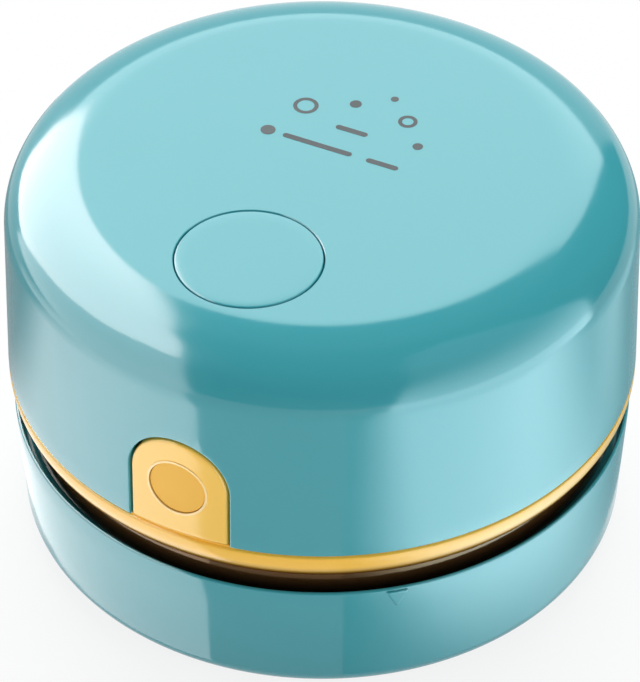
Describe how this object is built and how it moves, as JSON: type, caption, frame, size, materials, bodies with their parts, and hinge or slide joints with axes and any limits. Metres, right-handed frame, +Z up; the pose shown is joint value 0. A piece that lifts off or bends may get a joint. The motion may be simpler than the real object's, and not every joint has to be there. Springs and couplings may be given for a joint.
{
  "type": "desktop mini vacuum cleaner",
  "caption": "Round hand-sized desk vacuum: twist-lock base with a bristle ring and floor inlet, see-through dust cup, and a battery fan unit with a push button and a sprung release tab.",
  "frame": {"origin": "on the desk, under the middle of the round body", "axes": "+Z up along the shaft of the fan, -Y towards the release tab, +X to the right of the tab as seen from it"},
  "size_m": [0.0846, 0.0847, 0.0575],
  "materials": {
    "aqua_gloss": "satin gloss moulded",
    "amber_gloss": "satin gloss moulded",
    "amber_dot": "satin gloss moulded",
    "smoked_clear": "polished, see-through",
    "grey_matte": "fine matte texture",
    "black_matte": "matte",
    "white_matte": "fine matte texture",
    "bristle_fibre": "bundled fibre",
    "soft_rubber": "matte",
    "bright_steel": "plated",
    "bronze": "sintered",
    "lead_sleeve": "smooth sleeve",
    "cell_wrap": "shrink sleeve",
    "board_green": "solder mask",
    "filter_felt": "pressed felt"
  },
  "bodies": {
    "base": {"base_ring": "aqua_gloss", "base_plate": "grey_matte", "brush_holder": "grey_matte", "bristles": "bristle_fibre", "feet": "soft_rubber", "base_screws": "bright_steel"},
    "dust_cup": {"dust_cup": "smoked_clear", "inlet_duct": "smoked_clear"},
    "power_unit": {"top_shell": "aqua_gloss", "trim_ring": "amber_gloss", "cup_seal": "soft_rubber", "fan_cover": "grey_matte", "cover_screws": "bright_steel", "fan_deck": "grey_matte", "deck_screws": "bright_steel", "motor_can": "bright_steel", "motor_cap": "black_matte", "motor_bushes": "bronze", "motor_screws": "bright_steel", "motor_leads": "lead_sleeve", "battery_cell": "cell_wrap", "battery_tabs": "bright_steel", "battery_pad": "soft_rubber", "battery_leads": "lead_sleeve", "circuit_board": "board_green", "board_parts": "black_matte", "board_screws": "bright_steel", "push_switch": "black_matte", "charge_socket": "bright_steel"},
    "power_button": {"power_button": "aqua_gloss", "switch_plunger": "black_matte"},
    "release_tab": {"release_tab": "amber_gloss", "tab_dot": "amber_dot", "latch_spring": "bright_steel"},
    "rotor": {"impeller": "white_matte", "motor_shaft": "bright_steel"},
    "filter": {"filter_frame": "grey_matte", "filter_pad": "filter_felt"}
  },
  "joints": [
    {"name": "cup_twist", "type": "hinge", "parent": "base", "child": "dust_cup", "pos_m": [0, 0, 0.01], "axis": [0, 0, 1], "range_deg": [0, 40.4]},
    {"name": "power_unit_lift", "type": "slide", "parent": "dust_cup", "child": "power_unit", "axis": [0, 0, 1], "range_m": [0, 0.045]},
    {"name": "filter_drop", "type": "slide", "parent": "power_unit", "child": "filter", "axis": [0, 0, -1], "range_m": [0, 0.018]},
    {"name": "button_press", "type": "slide", "parent": "power_unit", "child": "power_button", "axis": [0, 0, -1], "range_m": [0, 0.0015], "stiffness_N_per_m": 400, "springref_m": -0.002},
    {"name": "tab_press", "type": "slide", "parent": "power_unit", "child": "release_tab", "axis": [0, 1, 0], "range_m": [0, 0.0015], "stiffness_N_per_m": 800, "springref_m": -0.001, "deforming": ["latch_spring"]},
    {"name": "rotor_spin", "type": "hinge", "parent": "power_unit", "child": "rotor", "pos_m": [0, 0, 0.03], "axis": [0, 0, 1], "continuous": true}
  ],
  "couplings": [
    {"joint": "filter_drop", "follows": "power_unit_lift", "ratio": 0.4}
  ]
}
